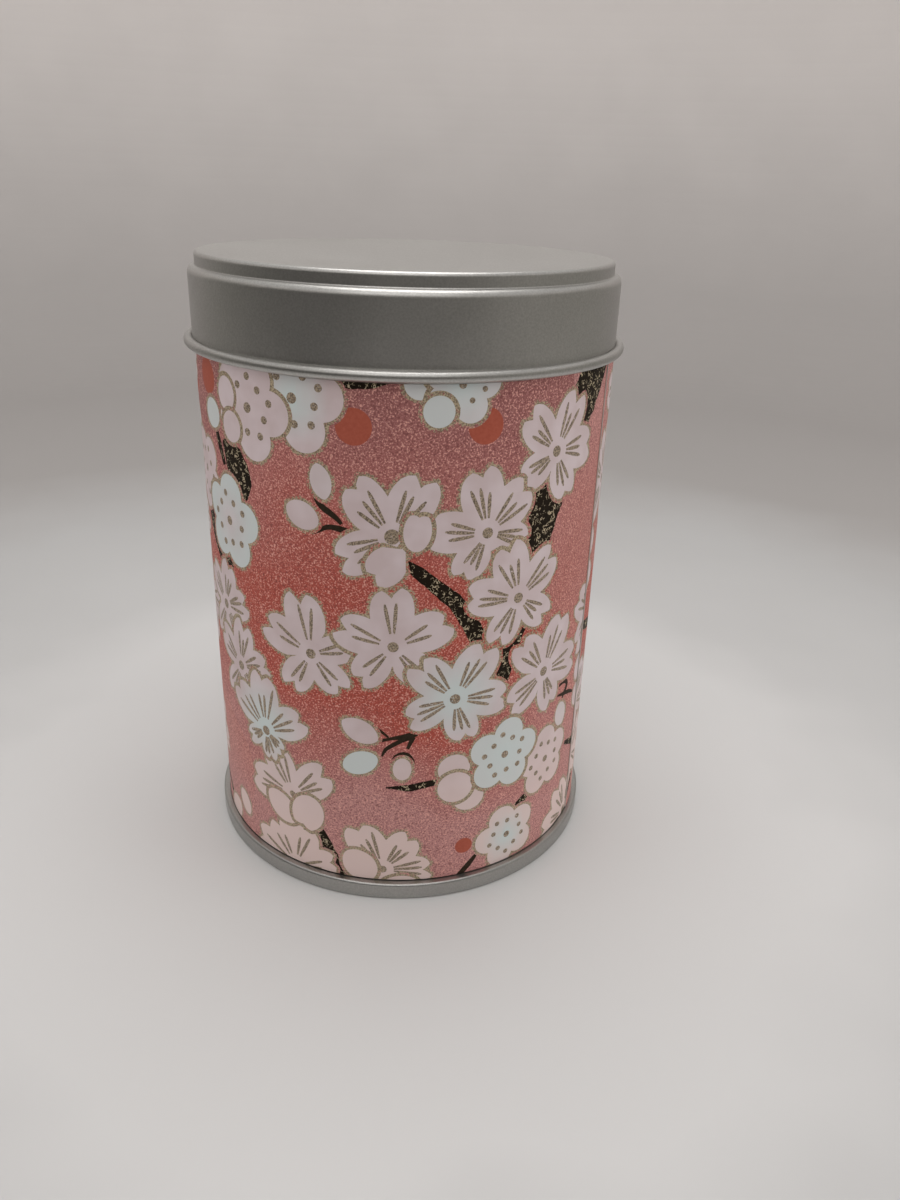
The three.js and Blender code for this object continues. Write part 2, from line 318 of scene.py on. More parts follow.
# ---- turned pieces ----
def arc(r, z, radius, start, end, pitch=10):
    """Points on an arc of a section, from one angle to another in degrees, ends included."""
    steps = max(2, math.ceil(abs(end - start) / pitch))
    angles = [math.radians(start + (end - start) * i / steps) for i in range(steps + 1)]
    return [(r + radius * math.cos(a), z + radius * math.sin(a)) for a in angles]


def held(section, closed):
    """The section with a point just inside each end of its long straights, so that smooth
    shading stays flat between them."""
    reach = 0.12 * MM
    points = []
    count = len(section) if closed else len(section) - 1
    for i in range(count):
        a, b = Vector(section[i]), Vector(section[(i + 1) % len(section)])
        points.append(tuple(a))
        length = (b - a).length
        if length > 6 * reach:
            points += [tuple(a.lerp(b, reach / length)), tuple(b.lerp(a, reach / length))]
    return points if closed else points + [section[-1]]


def turned(name, section, material, segments=SEGMENTS):
    """A solid turned about Z from its counter-clockwise section of (r, z) points. The section
    either starts and ends on the axis, or is closed on itself."""
    closed = section[0][0] > 0
    section = held(section, closed)
    angles = [2 * math.pi * k / segments for k in range(segments)]
    vertices, rings = [], []
    for r, z in section:
        first = len(vertices)
        turns = angles if r > 0 else [0.0]
        vertices += [(r * math.cos(a), r * math.sin(a), z) for a in turns]
        rings.append([first + k % len(turns) for k in range(segments + 1)])
    pairs = list(zip(rings, rings[1:] + rings[:1])) if closed else list(zip(rings, rings[1:]))
    faces = []
    for below, above in pairs:
        for k in range(segments):
            corners = (below[k], below[k + 1], above[k + 1], above[k])
            faces.append(tuple(dict.fromkeys(corners)))
    return solid(name, vertices, faces, material)


def solid(name, vertices, faces, *materials):
    mesh = bpy.data.meshes.new(name)
    mesh.from_pydata(vertices, [], faces)
    mesh.polygons.foreach_set("use_smooth", [True] * len(mesh.polygons))
    mesh.set_sharp_from_angle(angle=math.radians(38))
    for material in materials:
        mesh.materials.append(material)
    piece = bpy.data.objects.new(name, mesh)
    scene.collection.objects.link(piece)
    return piece


def fit(piece, body, node):
    """The piece rides on its body and stands for its CAD node."""
    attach(piece, body)
    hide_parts(node)


def eased(points, rounds=2):
    """An open run of points with its corners cut, its ends kept."""
    points = [Vector(point) for point in points]
    for _ in range(rounds):
        cut = [points[0]]
        for a, b in zip(points, points[1:]):
            cut += [a.lerp(b, 0.25), a.lerp(b, 0.75)]
        points = [*cut, points[-1]]
    return [tuple(point) for point in points]


def outer_lid():
    tier_r, tier_z = TIER_R - TIER_CORNER, LID_TOP - TIER_CORNER
    bead_r, bead_z = BEAD_OUT_R - BEAD_R, LID_BOTTOM + BEAD_R
    hollow = 0.22 * MM  # radius of the hollow where the tier meets the shoulder
    curl_end = 127  # degrees: where the curl all but touches the skirt again
    return turned("lid_shell", [
        (0, LID_TOP - SHEET),
        *arc(tier_r, tier_z, TIER_CORNER - SHEET, 90, 0),
        (TIER_R - SHEET, SHOULDER_Z + SHOULDER_R),
        *arc(TIER_R, SHOULDER_Z, SHOULDER_R - SHEET, 90, 0),
        *arc(bead_r, bead_z, BEAD_R, -180, curl_end),
        *arc(bead_r, bead_z, BEAD_R - SHEET, curl_end, -180),
        *arc(TIER_R, SHOULDER_Z, SHOULDER_R, 0, 70),
        *arc(TIER_R + hollow, SHOULDER_Z + SHOULDER_R + hollow * 0.8, hollow, 250, 180, pitch=20),
        *arc(tier_r, tier_z, TIER_CORNER, 0, 90),
        (0, LID_TOP),
    ], TIN)


def can_wall():
    curl_r, curl_z = BODY_R - CURL_R, BODY_TOP - CURL_R
    bend = HOOK_BOTTOM + SHEET
    hook_r = HOOK_OUT_R - SHEET
    return turned("can_wall", [
        *arc(curl_r, curl_z, CURL_R, 0, 270),
        *arc(curl_r, curl_z, CURL_R - SHEET, 270, 0),
        *arc(BODY_R, bend, SHEET, 180, 270, pitch=30),
        *arc(hook_r, bend, SHEET, 270, 360, pitch=30),
        (HOOK_OUT_R, HOOK_TOP),
        (hook_r, HOOK_TOP),
        (hook_r, bend),
        (BODY_R, bend),
    ], TIN_INSIDE)


def bottom_end():
    wall_r = BODY_R - SHEET - TOUCH
    panel_top = PANEL_Z + SHEET
    bend = 0.45 * MM
    rise = 0.6 * MM
    ring_in, ring_out, slope = 27 * MM, 30 * MM, 1 * MM
    corner_r = SEAM_R - SEAM_CORNER
    return turned("bottom_end", [
        (0, PANEL_Z),
        (ring_in - slope, PANEL_Z),
        (ring_in, PANEL_Z + rise),
        (ring_out, PANEL_Z + rise),
        (ring_out + slope, PANEL_Z),
        *arc(wall_r - SHEET - bend, PANEL_Z - bend, bend, 90, 0),
        *arc(wall_r, bend, SHEET, 180, 225, pitch=15),
        *arc(wall_r + 0.3 * MM, bend, bend, 225, 270, pitch=15),
        *arc(corner_r, SEAM_CORNER, SEAM_CORNER, -90, 0),
        *arc(corner_r, SEAM_HEIGHT - SEAM_CORNER, SEAM_CORNER, 0, 90),
        *arc(END_HOOK_R + bend / 2, SEAM_HEIGHT - bend / 2, bend / 2, 90, 180, pitch=30),
        (END_HOOK_R, END_HOOK_BOTTOM),
        (END_HOOK_R + SHEET, END_HOOK_BOTTOM),
        (END_HOOK_R + SHEET, SEAM_HEIGHT - SHEET),
        (SEAM_R - SHEET, SEAM_HEIGHT - SHEET),
        (SEAM_R - SHEET, SHEET),
        (wall_r, SHEET),
        *arc(wall_r - bend, panel_top - bend, bend, 0, 90),
        (ring_out + slope, panel_top),
        (ring_out, panel_top + rise),
        (ring_in, panel_top + rise),
        (ring_in - slope, panel_top),
        (0, panel_top),
    ], TIN_BOTTOM)


def seam_sealant():
    """The ring of compound between the hooks of the can's double seam."""
    inner, outer = END_HOOK_R + SHEET + TOUCH, HOOK_OUT_R - SHEET - TOUCH
    bottom, top = END_HOOK_BOTTOM + TOUCH, HOOK_TOP - TOUCH
    middle, swell = (inner + outer) / 2, (outer - inner) / 2
    return turned("seam_sealant", [
        *arc(middle, bottom + swell, swell, -180, 0, pitch=30),
        *arc(middle, top - swell, swell, 0, 180, pitch=30),
    ], SEALANT)


def side_weld():
    """The lap of the can wall's side seam, a flat ridge down the inside of its back."""
    steps = 8
    face_r, root_r = BODY_R - 2 * SHEET, BODY_R - 0.5 * SHEET
    reach = WELD_WIDTH / 2 / face_r
    turns = [math.pi / 2 + reach * (2 * k / steps - 1) for k in range(steps + 1)]
    bevel = 0.08 * MM
    outline = [(root_r, turns[0]), *((root_r, a) for a in turns[1:])]
    outline += [(face_r + bevel, turns[-1]), (face_r, turns[-1] - bevel / face_r)]
    outline += [(face_r, a) for a in reversed(turns[1:-1])]
    outline += [(face_r, turns[0] + bevel / face_r), (face_r + bevel, turns[0])]
    plan = [(r * math.cos(a), r * math.sin(a)) for r, a in outline]
    count = len(plan)
    vertices = [(x, y, z) for z in (WELD_FOOT, WELD_HEAD) for x, y in plan]
    faces = [tuple(range(count))[::-1], tuple(range(count, 2 * count))]
    for k in range(count):
        after = (k + 1) % count
        faces.append((k, after, count + after, count + k))
    return solid("side_weld", vertices, faces, TIN_INSIDE)


def inner_lid():
    rim_z = BODY_TOP + TOUCH
    bend, rise = 0.5 * MM, 0.6 * MM
    step_in, step_out = 21 * MM, 22 * MM
    lip_r = PLUG_R + SHEET
    floor, top = PLUG_FLOOR, PLUG_FLOOR + SHEET
    under = [(step_in - bend, floor), (step_in, floor), (step_out, floor + rise),
             (step_out + bend, floor + rise)]
    over = [(r, z + SHEET) for r, z in reversed(under)]
    return turned("plug_lid", [
        (RIVET_HOLE_R, floor),
        *eased(under),
        *arc(PLUG_R - bend, floor + rise + bend, bend, -90, 0),
        *arc(lip_r, rim_z - SHEET, SHEET, 180, 90, pitch=30),
        *arc(FLANGE_R - SHEET, rim_z + SHEET, SHEET, -90, 90, pitch=30),
        (FLANGE_R - FLANGE_HEM, rim_z + 2 * SHEET),
        (FLANGE_R - FLANGE_HEM, rim_z + SHEET),
        *arc(lip_r, rim_z - SHEET, 2 * SHEET, 90, 180, pitch=15),
        *arc(PLUG_R - bend, floor + rise + bend, bend - SHEET, 0, -90, pitch=30),
        *eased(over),
        (RIVET_HOLE_R, top),
    ], TIN_INSIDE)


def knob():
    height = KNOB_TOP - KNOB_Z
    foot, crown, edge = 0.35 * MM, KNOB_Z + 0.72 * height, 0.9 * MM
    waist = [(FOOT_R, KNOB_Z + 0.09 * height), (WAIST_R, KNOB_Z + 0.22 * height),
             (WAIST_R, KNOB_Z + 0.44 * height), (KNOB_R - edge, crown - 1.2 * edge)]
    dome = [(KNOB_R - 0.2 * edge, crown + 0.9 * edge), (0.5 * (KNOB_R + RECESS_R), KNOB_Z + 0.96 * height),
            (RECESS_R + foot, KNOB_TOP)]
    return turned("lid_knob", [
        (RIVET_HOLE_R, KNOB_Z),
        *arc(FOOT_R - foot, KNOB_Z + foot, foot, -90, 0),
        *eased(waist, rounds=3),
        *arc(KNOB_R - edge, crown, edge, -50, 40),
        *eased(dome),
        *arc(RECESS_R + foot / 2, KNOB_TOP - foot / 2, foot / 2, 90, 180, pitch=30),
        (RECESS_R, RECESS_Z),
        (RIVET_HOLE_R, RECESS_Z),
    ], PLASTIC, SMALL_SEGMENTS)


def rivet():
    """The rivet through knob, lid and washer, its lower end set into a flat button."""
    tail_top, tail = PLUG_FLOOR - WASHER - 2 * TOUCH, 0.65 * MM
    tail_r = 2.4 * MM
    head_z, head_r = RECESS_Z + TOUCH, RIVET_HEAD_R
    head_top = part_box("knob_rivet")[1].z
    button = [(0, tail_top - tail), (tail_r - 0.4 * MM, tail_top - tail), (tail_r, tail_top - tail / 2),
              (tail_r, tail_top - 0.1 * MM), (tail_r - 0.1 * MM, tail_top)]
    dome = [(head_r, head_z + 0.08 * MM), (head_r, head_z + 0.35 * MM),
            (0.62 * head_r, head_top - 0.08 * MM), (0.3 * head_r, head_top), (0, head_top)]
    return turned("rivet", [
        *eased(button),
        (RIVET_R, tail_top),
        (RIVET_R, head_z),
        (head_r - 0.08 * MM, head_z),
        *eased(dome, rounds=3),
    ], ALUMINIUM, SMALL_SEGMENTS)


def washer():
    top, edge = PLUG_FLOOR - TOUCH, 0.12 * MM
    return turned("washer", [
        (RIVET_HOLE_R, top - WASHER),
        *arc(WASHER_R - edge, top - WASHER + edge, edge, -90, 0, pitch=30),
        *arc(WASHER_R - edge, top - edge, edge, 0, 90, pitch=30),
        (RIVET_HOLE_R, top),
    ], ALUMINIUM, SMALL_SEGMENTS)


# ---- the print, drawn flat ----
# All in millimetres: x runs along the paper to the right of the can's front line, z is the
# height above the table. Directions are in degrees, counter-clockwise from the right.
GROUND, CLOUD, GOLD_ON_GROUND, PETAL, GOLD_ON_PETAL, BRANCH, TWIG, DISC, PAPER_BACK = range(9)
RIM = 0.75  # width of the gold dusting round every flower and bud
AROUND = np.radians(np.arange(0, 360, 1.5))
PRINT_R = PAPER_R / MM
DEGREE = math.radians(1) * PRINT_R  # length of one degree along the paper


def around(x, z, radii):
    return np.column_stack((x + radii * np.cos(AROUND), z + radii * np.sin(AROUND)))


def off_direction(direction):
    """How far each of the AROUND angles is from a direction, in degrees."""
    return (np.degrees(AROUND) - direction + 180) % 360 - 180


def rounded(length, width, tilt, point=1.0):
    """Radii of an oval; a point over 1 draws its two ends out."""
    turn = np.radians(np.arange(-180, 181, 2))
    along = length / 2 * np.cos(turn)
    across = width / 2 * np.sin(turn) * np.abs(np.sin(turn)) ** (point - 1)
    return np.interp(off_direction(tilt), np.degrees(np.arctan2(across, along)), np.hypot(across, along))


def widened(radii, margin):
    """Radii of the same shape grown by margin all round."""
    gap = AROUND[:, None] - AROUND[None, :]
    sideways = radii[None, :] * np.sin(gap)
    reach = margin**2 - sideways**2
    grown = radii[None, :] * np.cos(gap) + np.sqrt(np.maximum(reach, 0))
    grown[(reach < 0) | (np.cos(gap) < 0)] = 0
    return np.maximum(grown.max(1), radii + 0.3 * margin)


def stroke(start, end, width):
    """A pen stroke with round ends, fuller in its outer half."""
    start, end = np.array(start), np.array(end)
    along = (end - start) / np.linalg.norm(end - start)
    side = np.array((-along[1], along[0]))
    outline = []
    for share, spread in ((0, 0.55), (0.45, 1.0), (0.85, 0.95), (1.0, 0.4)):
        outline.append((start + (end - start) * share, side * width / 2 * spread))
    return np.array([p - s for p, s in outline] + [p + s for p, s in reversed(outline)])


def spot(x, z, radius, corners=12):
    turns = np.arange(corners) * 2 * math.pi / corners
    return np.column_stack((x + radius * np.cos(turns), z + radius * np.sin(turns)))


def motif(ink, outline, rim=None, marks=(), mint=(0.0, 0.0, 1.0)):
    """One printed shape: its ink, its outline, the outlines of its gold rim and of the gold
    marks on it, and how mint it is at its centre and its edge, with its radius."""
    return {"ink": ink, "outline": outline, "rim": rim, "marks": list(marks), "mint": mint}


def rimmed(x, z, radii, mint, marks=()):
    """A petal-coloured shape dusted round with gold."""
    return motif(PETAL, around(x, z, radii), around(x, z, widened(radii, RIM)), marks, mint)


# A cherry petal's edge: how far out it lies, as shares of the petal's length, from the notch
# in its tip to its side, as shares of its half width.
NOTCH = 0.84
PETAL_SIDE = ((0.22, 1.0), (0.36, 0.97), (0.50, 0.90), (0.64, 0.79), (0.76, 0.69), (0.88, 0.58),
              (1.0, 0.46))


def petal_radii(petals, half_width, chance, core=0.40):
    """A cherry flower's outline from (direction, length) pairs: petals, each with a notch in
    its tip, that join in a core whose radius is a share of the shortest petal's length."""
    radii = np.full(len(AROUND), core * min(length for _, length in petals))
    for direction, length in petals:
        skew = chance.uniform(-0.14, 0.14)
        across = off_direction(direction) / half_width
        from_notch = np.abs(across - skew * (1 - np.abs(across)))
        places, reaches = zip((0, NOTCH + chance.uniform(-0.05, 0.05)), *PETAL_SIDE)
        edge = length * np.interp(from_notch, places, reaches)
        edge *= 1 + 0.025 * np.sign(across - skew) * np.sign(skew)  # one lobe a little longer
        radii = np.maximum(radii, np.where(np.abs(across) < 1, edge, 0))
    return radii


def cherry(x, z, petals, mint=(0.0, 0.0), half_width=40, eye=0.95, strokes=3):
    """A cherry flower with gold strokes fanning up every petal, and an eye."""
    chance = np.random.default_rng(int(abs(x) * 10 + z * 7))
    radii = petal_radii(petals, half_width, chance)
    marks = []
    spread = 13 if strokes > 2 else 8
    for direction, length in petals:
        for k in range(strokes):
            a = math.radians(direction + spread * (2 * k / (strokes - 1) - 1) + chance.uniform(-2, 2))
            near, far = 0.23 * length, length * chance.uniform(0.62, 0.82)
            ray = np.array((math.cos(a), math.sin(a)))
            marks.append(stroke((x, z) + near * ray, (x, z) + far * ray, 0.66))
    marks.append(spot(x, z, eye, 16))
    reach = max(length for _, length in petals)
    return rimmed(x, z, radii, (*mint, reach), marks)


def petal(x, z, direction, length):
    """A single broad notched petal, growing from (x, z)."""
    chance = np.random.default_rng(int(abs(x) * 10 + z * 7))
    radii = petal_radii(((direction, length),), half_width=50, chance=chance, core=0.08)
    return rimmed(x, z, radii, (0.0, 0.0, length))


def plum(x, z, radius, turn=90, mint=(0.0, 0.0), dots=10):
    """A plum flower: five round petals, a ring of gold dots and one in the middle."""
    out, size = 0.58 * radius, 0.42 * radius
    radii = np.full(len(AROUND), out)
    for k in range(5):
        a = np.radians(off_direction(turn + 72 * k))
        hit = size**2 - (out * np.sin(a)) ** 2
        lobe = out * np.cos(a) + np.sqrt(np.maximum(hit, 0))
        radii = np.maximum(radii, np.where((hit > 0) & (np.cos(a) > 0), lobe, 0))
    marks = [spot(x, z, 0.1 * radius, 14)]
    for k in range(dots):
        a = math.radians(turn + 18 + 360 / dots * k)
        ring = radius * (0.46 if k % 2 else 0.58)
        marks.append(spot(x + ring * math.cos(a), z + ring * math.sin(a), 0.075 * radius))
    return rimmed(x, z, radii, (*mint, radius), marks)


def bud(x, z, length, width, tilt=0, mint=0.0, point=1.0, notch=0.0):
    """A round or almond-shaped petal on its own, its tip notched if it shows one."""
    radii = rounded(length, width, tilt, point)
    radii = radii * (1 - notch * np.maximum(0, 1 - np.abs(off_direction(tilt)) / 30))
    return rimmed(x, z, radii, (mint, mint, length))


def disc(x, z, radius):
    """A vermilion fruit."""
    return motif(DISC, around(x, z, np.full(len(AROUND), radius)))


def cloud(*points):
    """A patch of ground in the lighter rose, its corners eased."""
    outline = np.array(points, float)
    for _ in range(3):
        after = np.roll(outline, -1, axis=0)
        outline = np.stack((0.75 * outline + 0.25 * after, 0.25 * outline + 0.75 * after), 1).reshape(-1, 2)
    return motif(CLOUD, outline)


def branch(*points):
    """A branch through (x, z, width) points, its edges ragged as if brushed dry."""
    route = np.array(points, float)
    steps = np.concatenate(([0], np.cumsum(np.linalg.norm(np.diff(route[:, :2], axis=0), axis=1))))
    at = np.linspace(0, steps[-1], max(6, int(steps[-1] / 0.7)))
    smooth = np.column_stack([np.interp(at, steps, route[:, k]) for k in range(3)])
    middle = smooth.copy()
    middle[1:-1] = (smooth[:-2] + 2 * smooth[1:-1] + smooth[2:]) / 4
    along = np.gradient(middle[:, :2], axis=0)
    along /= np.linalg.norm(along, axis=1)[:, None]
    side = np.column_stack((-along[:, 1], along[:, 0]))
    chance = np.random.default_rng(int(abs(route[0, 0]) * 31 + route[0, 1] * 17))
    ragged = 1 + chance.uniform(-0.06, 0.06, (2, len(middle)))
    half = middle[:, 2:] / 2
    left = middle[:, :2] + side * half * ragged[0][:, None]
    right = middle[:, :2] - side * half * ragged[1][:, None]
    ink = BRANCH if route[:, 2].max() > 1.5 else TWIG
    return motif(ink, np.concatenate((left, right[::-1])))


# One repeat of the pattern, from the undermost shape to the topmost.
PATTERN = [
    cloud((29, 100), (62, 104), (66, 60), (58, 34), (44, 30), (33, 33), (27, 50), (24, 62), (27, 76),
          (31, 90)),
    cloud((-62, 34), (-50, 33), (-36, 27), (-31, 20), (-34, 8), (-44, 2), (-62, 4)),
    branch((42, 103, 10), (38.5, 97.5, 9.5), (33, 90, 8.5), (28.5, 82, 7), (25.3, 75, 8), (24.2, 69, 5.6),
           (22, 61, 5), (19.7, 53, 5), (18.5, 48, 4), (18, 43, 2)),
    branch((0, 67.8, 1.3), (2.2, 66.2, 2.2), (4.9, 63.8, 2.4), (8.8, 60.3, 2.9), (11.7, 55.6, 3),
           (14, 51, 3.4), (18, 48.5, 3)),
    branch((-35, 83.2, 1), (-32.2, 81, 6), (-30, 78, 6), (-29.8, 75.4, 3.6), (-30.2, 73.2, 0.8)),
    branch((-45, 71.5, 2.5), (-41.6, 66.5, 6), (-38.4, 62.4, 5.6), (-34.6, 60.2, 1)),
    branch((-13, 96.5, 3), (-5, 97.2, 4), (4, 101, 4), (9, 104, 3), (14, 106, 1)),
    branch((-17.5, 15, 0.8), (-15.5, 11.5, 3), (-13.6, 7, 3.4), (-10, 2.6, 2.4), (-4, 0, 2)),
    branch((9.6, 1.4, 0.8), (11.4, 3.5, 1.2), (13.4, 5.8, 1.2), (14.7, 7.4, 0.6)),
    branch((21.7, 14, 1.8), (23.5, 15.3, 2), (25.8, 16.8, 1.5)),
    branch((-2.9, 24.3, 0.3), (-0.9, 24.4, 0.8), (1.3, 24.2, 1.6), (3.6, 24.8, 1.4), (5.8, 25.2, 1.4),
           (7, 25.2, 1)),
    branch((4.4, 37, 0.6), (1.4, 35.2, 1.4), (-2, 34.7, 0.6), (-4.2, 34, 0.7), (-5.7, 32.7, 0.6)),
    branch((1.4, 34.9, 0.9), (-0.2, 34.3, 0.9), (-3, 32.5, 0.8), (-3.6, 30.9, 0.3)),
    branch((1.9, 35, 0.9), (0.9, 32.6, 0.6)),
    branch((-1.9, 29.6, 0.4), (-1.3, 31, 0.8), (0.2, 31.8, 0.9), (1.5, 31, 0.8), (2.1, 29.4, 0.4)),
    branch((-5.2, 37.2, 0.3), (-4.3, 36.6, 0.6), (-3.2, 35.6, 0.5), (-2.4, 34.9, 0.4)),
    branch((-14.6, 77.7, 0.4), (-13.8, 76.5, 1.1), (-12.2, 75.5, 1.1), (-10.9, 74.7, 0.9),
           (-10, 73.7, 0.6)),
    branch((-15.2, 71.4, 0.4), (-13.8, 72.2, 0.8), (-12.5, 73, 0.8), (-10.9, 73, 1), (-9, 72.5, 1.2),
           (-7.4, 71.9, 0.8)),
    branch((-14.6, 75.2, 0.3), (-13.4, 74.1, 0.8), (-13.5, 73.2, 1), (-14, 72.2, 0.7)),
    branch((-12.8, 77.1, 0.3), (-11.9, 77.5, 0.5)),
    branch((33.2, 37.2, 0.5), (35.4, 37.7, 0.9), (37.2, 36.9, 1), (36.9, 35.5, 1), (35.6, 34.4, 0.8),
           (35.1, 33.2, 0.4)),
    branch((33.4, 35.3, 0.4), (35.8, 34.8, 0.9), (38.2, 34.2, 0.9), (40.6, 33, 0.5)),
    branch((38.5, 22.2, 0.8), (45, 19.6, 2.2), (52, 17.8, 2.4), (58, 15.6, 1.4), (63, 13, 0.4)),
    branch((-61, 14, 0.4), (-55, 11.5, 1.8), (-48, 9, 1.6), (-39, 3, 1.6), (-34, 0, 1.4)),
    branch((-38.5, 88, 0.6), (-36.5, 82.5, 1.6), (-35, 79, 1)),
    disc(-7.9, 89.4, 2.9),
    disc(12.6, 89.6, 2.9),
    disc(11.8, 10, 1.7),
    disc(-39.8, 93, 3),
    cherry(-52, 49, ((80, 9.5), (8, 10), (-64, 9.5), (-136, 9), (152, 10))),
    cherry(47.8, 48.4, ((150, 10.5), (95, 10), (20, 9.5), (-55, 9.5), (215, 10))),
    cherry(41.7, 4, ((118, 10), (176, 10.5), (55, 9.5), (-10, 10), (-90, 9))),
    cherry(-53, 20, ((60, 8.5), (-10, 8), (-80, 8.5), (200, 9), (130, 9))),
    disc(-34.4, 101.2, 2.3),
    disc(21.2, 103.6, 2.3),
    disc(-49.6, 90.5, 2.4),
    cherry(-42.5, 108, ((95, 9.5), (25, 9.2), (-45, 8.6), (-120, 9.2), (165, 9.6))),
    cherry(-27.5, 108.4, ((70, 9.8), (0, 9), (-75, 9), (-145, 9.4), (140, 9.2)), (1, 0.1)),
    plum(-12.8, 107.4, 7.8, 30),
    bud(-4.2, 106, 6.6, 4.6, 25, 0.9, point=1.1),
    bud(-1.4, 110.8, 6.2, 4.2, 70, point=1.3),
    cherry(13.6, 108.6, ((80, 9.6), (10, 9.8), (-60, 8.8), (-130, 9), (150, 9.4))),
    plum(28.6, 107.2, 8, 70, (1, 0.6)),
    cherry(42.2, 107.4, ((110, 9.6), (40, 9.4), (-30, 9), (-100, 8.8), (180, 9.4)), strokes=2),
    cherry(-55.5, 64.5, ((85, 9.4), (15, 9), (-60, 9), (-130, 9.2), (160, 9)), (1, 0.1)),
    cherry(-56.5, 95, ((60, 9.6), (-10, 9), (-85, 9), (-155, 9.4), (130, 9.4)), strokes=2),
    bud(-50.5, 83.8, 6.2, 4.4, 130, 0.8, point=1.2),
    cherry(54.5, 63, ((100, 9.6), (30, 9.4), (-40, 9.2), (-110, 9), (170, 9.4)), strokes=2),
    plum(56.5, 95.5, 8.2, 10, (1, 0.2)),
    bud(50.4, 88.4, 6, 4.2, 55, point=1.2),
    plum(57.5, 14, 7.8, 45),
    plum(-44.8, 76, 7.4, 45),
    plum(53, 79, 8, 20, (0.6, 0.1)),
    bud(42.8, 37.4, 5.6, 4, 80, point=1.3),
    bud(43, 31.2, 5.4, 4, 100, point=1.3),
    plum(-18, 92.8, 8.7, 5, (1, 0)),
    plum(-27.3, 90, 8.6, -3),
    bud(-33, 91.3, 4.8, 5.6),
    bud(-31.9, 86.1, 5, 5.2),
    bud(-38.5, 87.1, 5.4, 5, 0, 0.8),
    bud(2.2, 96.2, 4.9, 4.9, 0, 0.7),
    plum(8.6, 96, 6.2, 150, (1, 0.5), dots=8),
    bud(5.1, 92, 4.9, 4.9, 0, 0.8),
    plum(-34.7, 69.2, 8.4, 82, (0.3, 0.9)),
    bud(-13.4, 80.3, 5.9, 3.6, 103, 0.1, point=1.3),
    bud(-16.9, 74.3, 6.2, 4.6, -22, point=1.1),
    bud(-7.5, 35.8, 7.2, 4.5, -28, point=1.3),
    bud(-7.5, 29.2, 6.8, 4.6, 25, 0.9, point=1.1),
    bud(0, 28.3, 4.6, 3.3, 90),
    bud(35.2, 30.6, 5.6, 4, 105, 0.2, point=1.2),
    bud(-36.6, 9.4, 5.6, 4, 120, point=1.2),
    bud(-42, 5, 7, 5, 40, point=1.2),
    cherry(-38.9, 51.9, ((72, 9), (18, 8.6), (-50, 9), (-120, 9), (140, 9))),
    cherry(-34.2, 41.2, ((78, 9.6), (22, 8.8), (-45, 8), (-120, 9), (150, 9))),
    cherry(26.9, 83.9, ((62, 10.4), (-3, 10.4), (-69, 9), (208, 8.3), (137, 9.7))),
    cherry(13.7, 72.1, ((102, 10.9), (43, 10.2), (-15, 8.2), (-118, 8.6), (173, 10.2))),
    cherry(20.4, 59.4, ((108, 10.6), (37, 10.4), (-39, 8.8), (-117, 9), (170, 10))),
    cherry(-1.9, 72.1, ((131, 10.7), (63, 11), (208, 10.2)), eye=1.3),
    petal(0.2, 70, 223, 7.6),
    bud(2.1, 73, 6.8, 4.5, 84, notch=0.3),
    cherry(-16.2, 49.5, ((157, 10.4), (97, 11.2), (20, 7.8), (-50, 8.6), (-120, 8.9)), strokes=2),
    cherry(-1.7, 52.6, ((93, 10.6), (28, 10.4), (-50, 9.2), (226, 9.2), (160, 10.2)), strokes=2),
    cherry(9.1, 42.1, ((60, 11.2), (-6, 10.2), (-78, 8.9), (202, 9.2), (131, 10.2)), (1, 0.1)),
    cherry(28, 42.8, ((66, 11.2), (-2, 11.2), (-69, 8.8), (210, 9.6), (128, 10.2))),
    bud(9.4, 27.6, 6, 6),
    bud(12.4, 20.9, 6, 5.6),
    bud(9.7, 23.6, 6.6, 6.4),
    plum(30.7, 22.7, 7.3, 94),
    plum(19.6, 28.2, 7.6, 81, (1, 0.8)),
    plum(21.2, 9.5, 7, 108, (1, 0.1)),
    cherry(-21.4, 2.4, ((122, 10), (72, 10.6), (165, 10.5), (18, 9.5), (-90, 7)), strokes=2),
    cherry(-21.4, 18.8, ((116, 10.4), (40, 10.4), (178, 10.8)), eye=0.7),
    bud(-24.2, 14.9, 8.2, 5.8, -35, point=1.2),
    bud(-18.2, 15.6, 8.2, 6.8, -110, notch=0.28),
    cherry(-27.4, 30.3, ((90, 11.8), (34, 10.6), (143, 11), (-82, 6), (212, 6.2), (-35, 5.2)), (1, 0),
           half_width=37),
    cherry(-3.5, 5.9, ((116, 10.6), (54, 9.4), (2, 9.2)), eye=0.8),
    bud(-7.8, 6.4, 7.6, 6.2, -50, point=1.1),
    bud(-0.4, 2.4, 7, 4, 10, point=1.2),
]
# The pattern repeats every REPEAT mm along the sheet and every TALL mm up it. Each copy lies
# STAGGER mm below the one to its left, and every second one RISE mm higher again.
REPEAT, TALL = 180 * DEGREE, 116.0
RISE, STAGGER = TALL / 2, 13.0


def moved(shape, x, z):
    shift = np.array((x, z))
    marks = [mark + shift for mark in shape["marks"]]
    rim = None if shape["rim"] is None else shape["rim"] + shift
    return {**shape, "outline": shape["outline"] + shift, "rim": rim, "marks": marks}


# ---- the paper sheet ----
SHEET_START = -294 * DEGREE  # the sheet's outer end, 24 degrees to the viewer's side of +X
LAP_DEG, RAMP_DEG = 12, 10  # how long the sheet's ends overlap, and the ramp down from there
SHEET_END = SHEET_START + (360 + LAP_DEG) * DEGREE
SHEET_LOW, SHEET_HIGH = PAPER_BOTTOM / MM, PAPER_TOP / MM
FOLDS = SHEET_START + np.arange(0, 360 + LAP_DEG + 1, 2) * DEGREE  # upright edges of its mesh
RUNGS = np.linspace(SHEET_LOW, SHEET_HIGH, 19)  # and level ones


